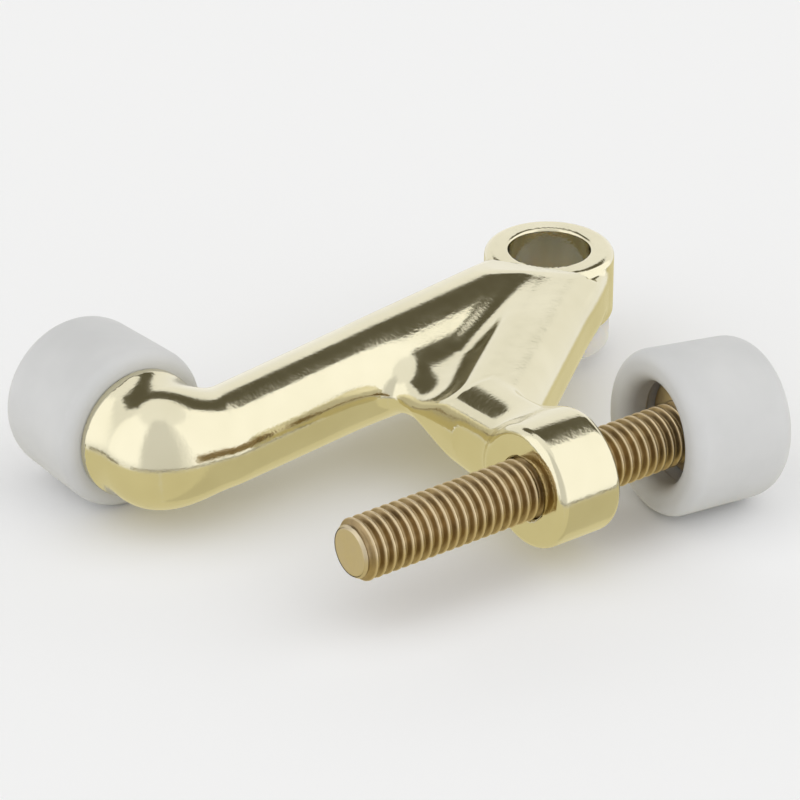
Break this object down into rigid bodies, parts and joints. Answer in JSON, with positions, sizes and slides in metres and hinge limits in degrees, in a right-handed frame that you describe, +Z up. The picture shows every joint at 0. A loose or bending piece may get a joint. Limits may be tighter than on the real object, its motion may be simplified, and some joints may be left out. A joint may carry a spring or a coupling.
{
  "type": "hinge pin door stop",
  "caption": "Forked door stop that hangs on a hinge pin: a plated cast eye with a fixed bumper arm and a threaded boss that carries an adjusting screw with a second soft bumper.",
  "frame": {"origin": "on the axis of the hinge pin, at mid height of the eye", "axes": "+Z up along the hinge pin, +X along the adjusting screw towards its bumper, +Y about the way the arm's bumper faces"},
  "size_m": [0.0651, 0.0502, 0.0164],
  "materials": {
    "plated_casting": "bright plated",
    "plated_screw": "dull plated thread",
    "white_rubber": "smooth moulded, matte",
    "white_nylon": "smooth moulded"
  },
  "bodies": {
    "casting": {"cast_body": "plated_casting", "arm_bumper": "white_rubber", "pin_bush": "white_nylon"},
    "bumper": {"screw_bumper": "white_rubber"},
    "screw": {"adjusting_screw": "plated_screw"}
  },
  "joints": [
    {"name": "screw_travel", "type": "slide", "parent": "casting", "child": "bumper", "axis": [1, 0, 0], "range_m": [-0.0073, 0.019]},
    {"name": "screw_turn", "type": "hinge", "parent": "bumper", "child": "screw", "pos_m": [-0.03, -0.0318, 0], "axis": [1, 0, 0], "range_deg": [-2628, 6840]}
  ],
  "couplings": [
    {"joint": "screw_turn", "follows": "screw_travel", "rad_per_m": 6283.2}
  ]
}
